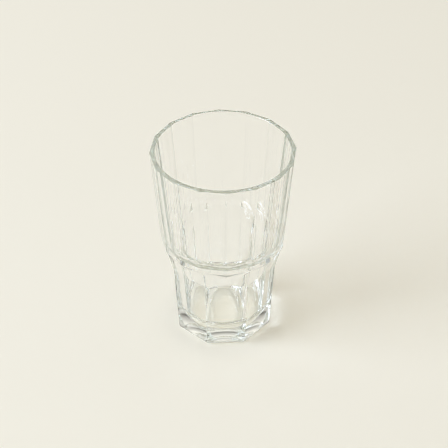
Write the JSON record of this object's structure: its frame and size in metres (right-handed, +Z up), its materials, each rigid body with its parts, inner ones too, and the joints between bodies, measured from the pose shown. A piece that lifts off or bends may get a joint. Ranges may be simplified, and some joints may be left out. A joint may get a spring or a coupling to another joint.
{
  "type": "juice glass",
  "caption": "Clear pressed-glass juice tumbler: a flaring faceted bowl steps in at a shoulder to a narrower flat-panelled foot with a thick base, standing on a flat ring.",
  "frame": {"origin": "middle of the foot, on the plane that the glass stands on", "axes": "+Z up along the axis of the glass; one flat panel of the foot faces -Y"},
  "size_m": [0.0758, 0.0758, 0.114],
  "materials": {
    "glass": "clear pressed soda-lime glass, fire-polished"
  },
  "bodies": {
    "root": {"tumbler": "glass"}
  },
  "joints": []
}
